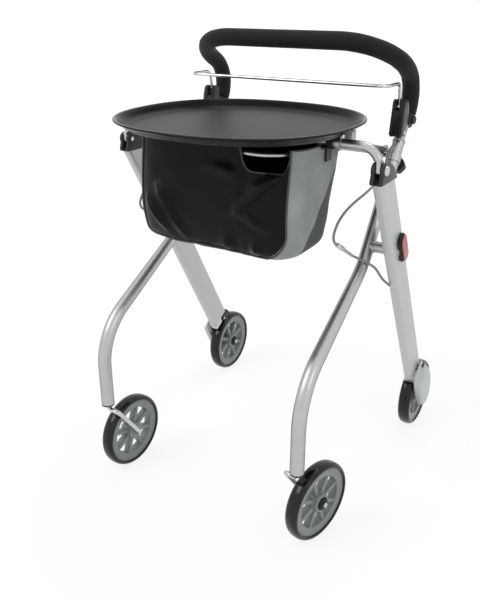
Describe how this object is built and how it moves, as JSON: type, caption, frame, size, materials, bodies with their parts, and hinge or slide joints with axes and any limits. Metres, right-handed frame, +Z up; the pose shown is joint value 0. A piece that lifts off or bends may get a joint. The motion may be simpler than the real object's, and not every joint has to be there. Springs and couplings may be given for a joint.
{
  "type": "indoor walker with tray",
  "caption": "Folding indoor walker on swivel casters and braked rear wheels, with a push handle, brake bar, lift-off tray and fabric bag.",
  "frame": {"origin": "on the floor under the middle of the bounding box, in the centre plane", "axes": "+Z up; the walker rolls towards -Y, the user walks behind at +Y; +X to the right as seen from the front"},
  "size_m": [0.5598, 0.6258, 0.8481],
  "materials": {
    "frame_paint": "satin silver paint with a fine metallic grain",
    "leg_aluminium": "matt anodised extrusion",
    "zinc_steel": "zinc-plated, softly shiny",
    "chrome_wire": "polished",
    "black_plastic": "satin black moulding",
    "dark_plastic": "satin dark grey moulding",
    "cover_plastic": "satin pale grey moulding",
    "tray_plastic": "fine-grained black with a smooth rim",
    "foam": "soft closed-cell foam, matt charcoal",
    "tyre_rubber": "smooth black with a slight sheen",
    "rim_plastic": "grey, semi-gloss",
    "bag_fabric": "black nylon with grey side panels",
    "red_lens": "clear red prism lens",
    "cable_jacket": "grey ribbed jacket"
  },
  "bodies": {
    "front_frame": {"front_tube_left": "frame_paint", "front_tube_right": "frame_paint", "caster_bushes": "black_plastic", "tube_end_bushes": "cover_plastic", "clamp_collars": "frame_paint", "hook_pegs": "frame_paint", "brake_cable_upper_left": "cable_jacket", "brake_cable_upper_right": "cable_jacket", "brake_cable_lower_left": "cable_jacket", "brake_cable_lower_right": "cable_jacket", "cable_adjusters": "zinc_steel"},
    "handle": {"handle_tube": "frame_paint", "handle_grip": "foam", "lever_housing_left": "black_plastic", "lever_housing_right": "black_plastic", "lever_plates": "dark_plastic", "clamp_screws": "black_plastic"},
    "brake_bar": {"brake_bar": "chrome_wire"},
    "rear_legs": {"rear_leg_left": "leg_aluminium", "rear_leg_right": "leg_aluminium", "leg_cap_left": "dark_plastic", "leg_cap_right": "dark_plastic", "clevis_pins": "zinc_steel", "pivot_bolts": "zinc_steel", "pivot_sleeves": "zinc_steel", "pivot_washers": "black_plastic", "reflector_housings": "black_plastic", "reflector_lenses": "red_lens", "axle_arm_left": "zinc_steel", "axle_arm_right": "zinc_steel", "axle_bolts": "zinc_steel", "brake_cover_left": "cover_plastic", "brake_cover_right": "cover_plastic"},
    "tray_frame": {"tray_crossbar": "frame_paint", "tray_rail_left": "frame_paint", "tray_rail_right": "frame_paint", "bag_frame": "frame_paint", "bag_clips": "black_plastic", "bag": "bag_fabric"},
    "tray": {"tray": "tray_plastic", "tray_lugs": "cover_plastic"},
    "caster_left": {"caster_rod_left": "zinc_steel"},
    "front_wheel_left": {"front_tyre_left": "tyre_rubber", "front_rim_left": "rim_plastic", "front_hub_cap_left": "black_plastic"},
    "rear_wheel_left": {"rear_tyre_left": "tyre_rubber", "rear_rim_left": "rim_plastic", "rear_hub_cap_left": "black_plastic"},
    "knob_left": {"height_knob_left": "black_plastic"},
    "brake_shoe_left": {"brake_shoe_left": "tyre_rubber"},
    "caster_right": {"caster_rod_right": "zinc_steel"},
    "front_wheel_right": {"front_tyre_right": "tyre_rubber", "front_rim_right": "rim_plastic", "front_hub_cap_right": "black_plastic"},
    "rear_wheel_right": {"rear_tyre_right": "tyre_rubber", "rear_rim_right": "rim_plastic", "rear_hub_cap_right": "black_plastic"},
    "knob_right": {"height_knob_right": "black_plastic"},
    "brake_shoe_right": {"brake_shoe_right": "tyre_rubber"}
  },
  "joints": [
    {"name": "handle_height", "type": "slide", "parent": "front_frame", "child": "handle", "axis": [0, 0.5693, 0.8221], "range_m": [0, 0.1], "deforming": ["brake_cable_upper_left", "brake_cable_upper_right"]},
    {"name": "brake_squeeze", "type": "hinge", "parent": "handle", "child": "brake_bar", "pos_m": [0, 0.10435, 0.71913], "axis": [-1, 0, 0], "range_deg": [0, 15], "stiffness_Nm_per_rad": 0.4},
    {"name": "fold", "type": "hinge", "parent": "front_frame", "child": "rear_legs", "pos_m": [0, -0.00609, 0.49001], "axis": [-1, 0, 0], "range_deg": [0, 30], "deforming": ["brake_cable_lower_left", "brake_cable_lower_right"]},
    {"name": "tray_frame_tilt", "type": "hinge", "parent": "rear_legs", "child": "tray_frame", "pos_m": [0, -0.11184, 0.65404], "axis": [-1, 0, 0], "range_deg": [-30, 0]},
    {"name": "tray_lift", "type": "slide", "parent": "tray_frame", "child": "tray", "axis": [0, -0.85, 0.5268], "range_m": [0, 0.2]},
    {"name": "caster_swivel_left", "type": "hinge", "parent": "front_frame", "child": "caster_left", "pos_m": [-0.208, -0.273, 0.168], "axis": [0, 0, 1], "continuous": true},
    {"name": "front_wheel_roll_left", "type": "hinge", "parent": "caster_left", "child": "front_wheel_left", "pos_m": [-0.20497, -0.21508, 0.075], "axis": [0.9986, -0.0523, 0], "continuous": true},
    {"name": "rear_wheel_roll_left", "type": "hinge", "parent": "rear_legs", "child": "rear_wheel_left", "pos_m": [-0.249, 0.238, 0.075], "axis": [1, 0, 0], "continuous": true},
    {"name": "knob_turn_left", "type": "hinge", "parent": "front_frame", "child": "knob_left", "pos_m": [-0.204, 0.09012, 0.62896], "axis": [0, 0.8221, -0.5693], "continuous": true},
    {"name": "shoe_press_left", "type": "hinge", "parent": "rear_legs", "child": "brake_shoe_left", "pos_m": [-0.249, 0.20104, 0.15362], "axis": [-1, 0, 0], "range_deg": [0, 3.75]},
    {"name": "caster_swivel_right", "type": "hinge", "parent": "front_frame", "child": "caster_right", "pos_m": [0.208, -0.273, 0.168], "axis": [0, 0, 1], "continuous": true},
    {"name": "front_wheel_roll_right", "type": "hinge", "parent": "caster_right", "child": "front_wheel_right", "pos_m": [0.22105, -0.21649, 0.075], "axis": [0.9744, -0.225, 0], "continuous": true},
    {"name": "rear_wheel_roll_right", "type": "hinge", "parent": "rear_legs", "child": "rear_wheel_right", "pos_m": [0.249, 0.238, 0.075], "axis": [1, 0, 0], "continuous": true},
    {"name": "knob_turn_right", "type": "hinge", "parent": "front_frame", "child": "knob_right", "pos_m": [0.204, 0.09012, 0.62896], "axis": [0, 0.8221, -0.5693], "continuous": true},
    {"name": "shoe_press_right", "type": "hinge", "parent": "rear_legs", "child": "brake_shoe_right", "pos_m": [0.249, 0.20104, 0.15362], "axis": [-1, 0, 0], "range_deg": [0, 3.75]}
  ],
  "couplings": [
    {"joint": "tray_frame_tilt", "follows": "fold", "ratio": -1},
    {"joint": "shoe_press_left", "follows": "brake_squeeze", "ratio": 0.25},
    {"joint": "shoe_press_right", "follows": "brake_squeeze", "ratio": 0.25}
  ]
}
